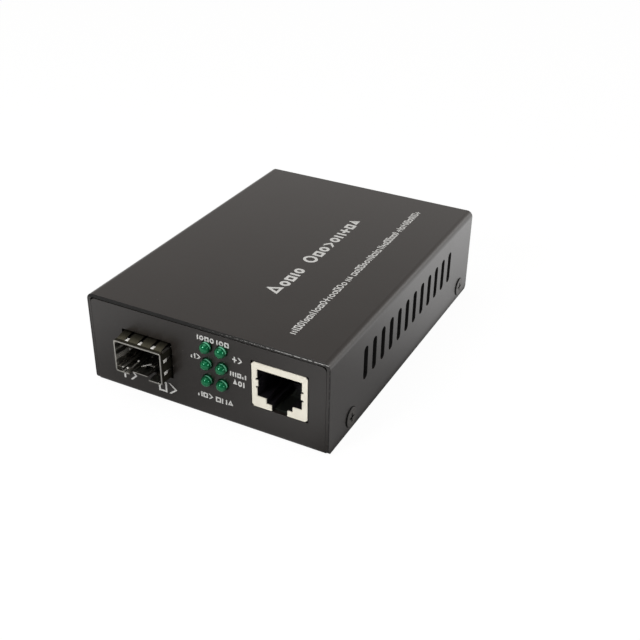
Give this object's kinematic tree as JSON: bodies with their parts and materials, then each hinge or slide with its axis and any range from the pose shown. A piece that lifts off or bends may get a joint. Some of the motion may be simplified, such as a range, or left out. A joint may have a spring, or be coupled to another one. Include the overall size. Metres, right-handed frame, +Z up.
{
  "type": "fibre media converter",
  "caption": "Small black sheet-steel network box with a cage for a pluggable optics module, a network jack and green status lamps on its front, vent slots in its sides.",
  "frame": {"origin": "middle of the case's flat underside, midway between the front and back panels' outer faces", "axes": "+Z up; the front panel faces -Y and the back panel +Y; +X is to the right, seen from the front"},
  "size_m": [0.0706, 0.0993, 0.0265],
  "materials": {
    "black_paint": "semi-gloss black powder paint with a fine texture, on folded steel sheet",
    "black_screw": "black oxide steel",
    "plated_steel": "bright nickel plate on steel",
    "spring_steel": "dull plated spring strip",
    "board_mask": "glass-fibre board with black solder mask",
    "black_plastic": "moulded black nylon",
    "gold_plate": "gold-plated phosphor bronze",
    "ivory_plastic": "moulded ivory nylon with a soft sheen",
    "green_lens": "green tinted diffusing resin",
    "tinned_wire": "tinned copper-clad wire",
    "chip_black": "moulded black epoxy",
    "ferrite_grey": "pressed ferrite",
    "can_aluminium": "bare aluminium can"
  },
  "bodies": {
    "root": {"top_cover": "black_paint", "base_chassis": "black_paint", "cover_screws": "black_screw", "board_standoffs": "plated_steel", "board_screws": "plated_steel", "main_board": "board_mask", "sfp_cage": "plated_steel", "emi_spring_collar": "spring_steel", "sfp_connector_housing": "black_plastic", "sfp_connector_contacts": "gold_plate", "rj45_housing": "ivory_plastic", "rj45_contacts": "gold_plate", "led_bottom_left": "green_lens", "led_bottom_right": "green_lens", "led_middle_left": "green_lens", "led_middle_right": "green_lens", "led_top_left": "green_lens", "led_top_right": "green_lens", "led_holder": "black_plastic", "led_leads": "tinned_wire", "dc_jack_housing": "black_plastic", "dc_jack_pin": "plated_steel", "dc_jack_contact": "plated_steel", "converter_chip": "chip_black", "memory_chip": "chip_black", "line_transformer": "chip_black", "crystal": "plated_steel", "voltage_regulator": "chip_black", "power_inductor": "ferrite_grey", "electrolytic_capacitors": "can_aluminium"}
  },
  "joints": []
}
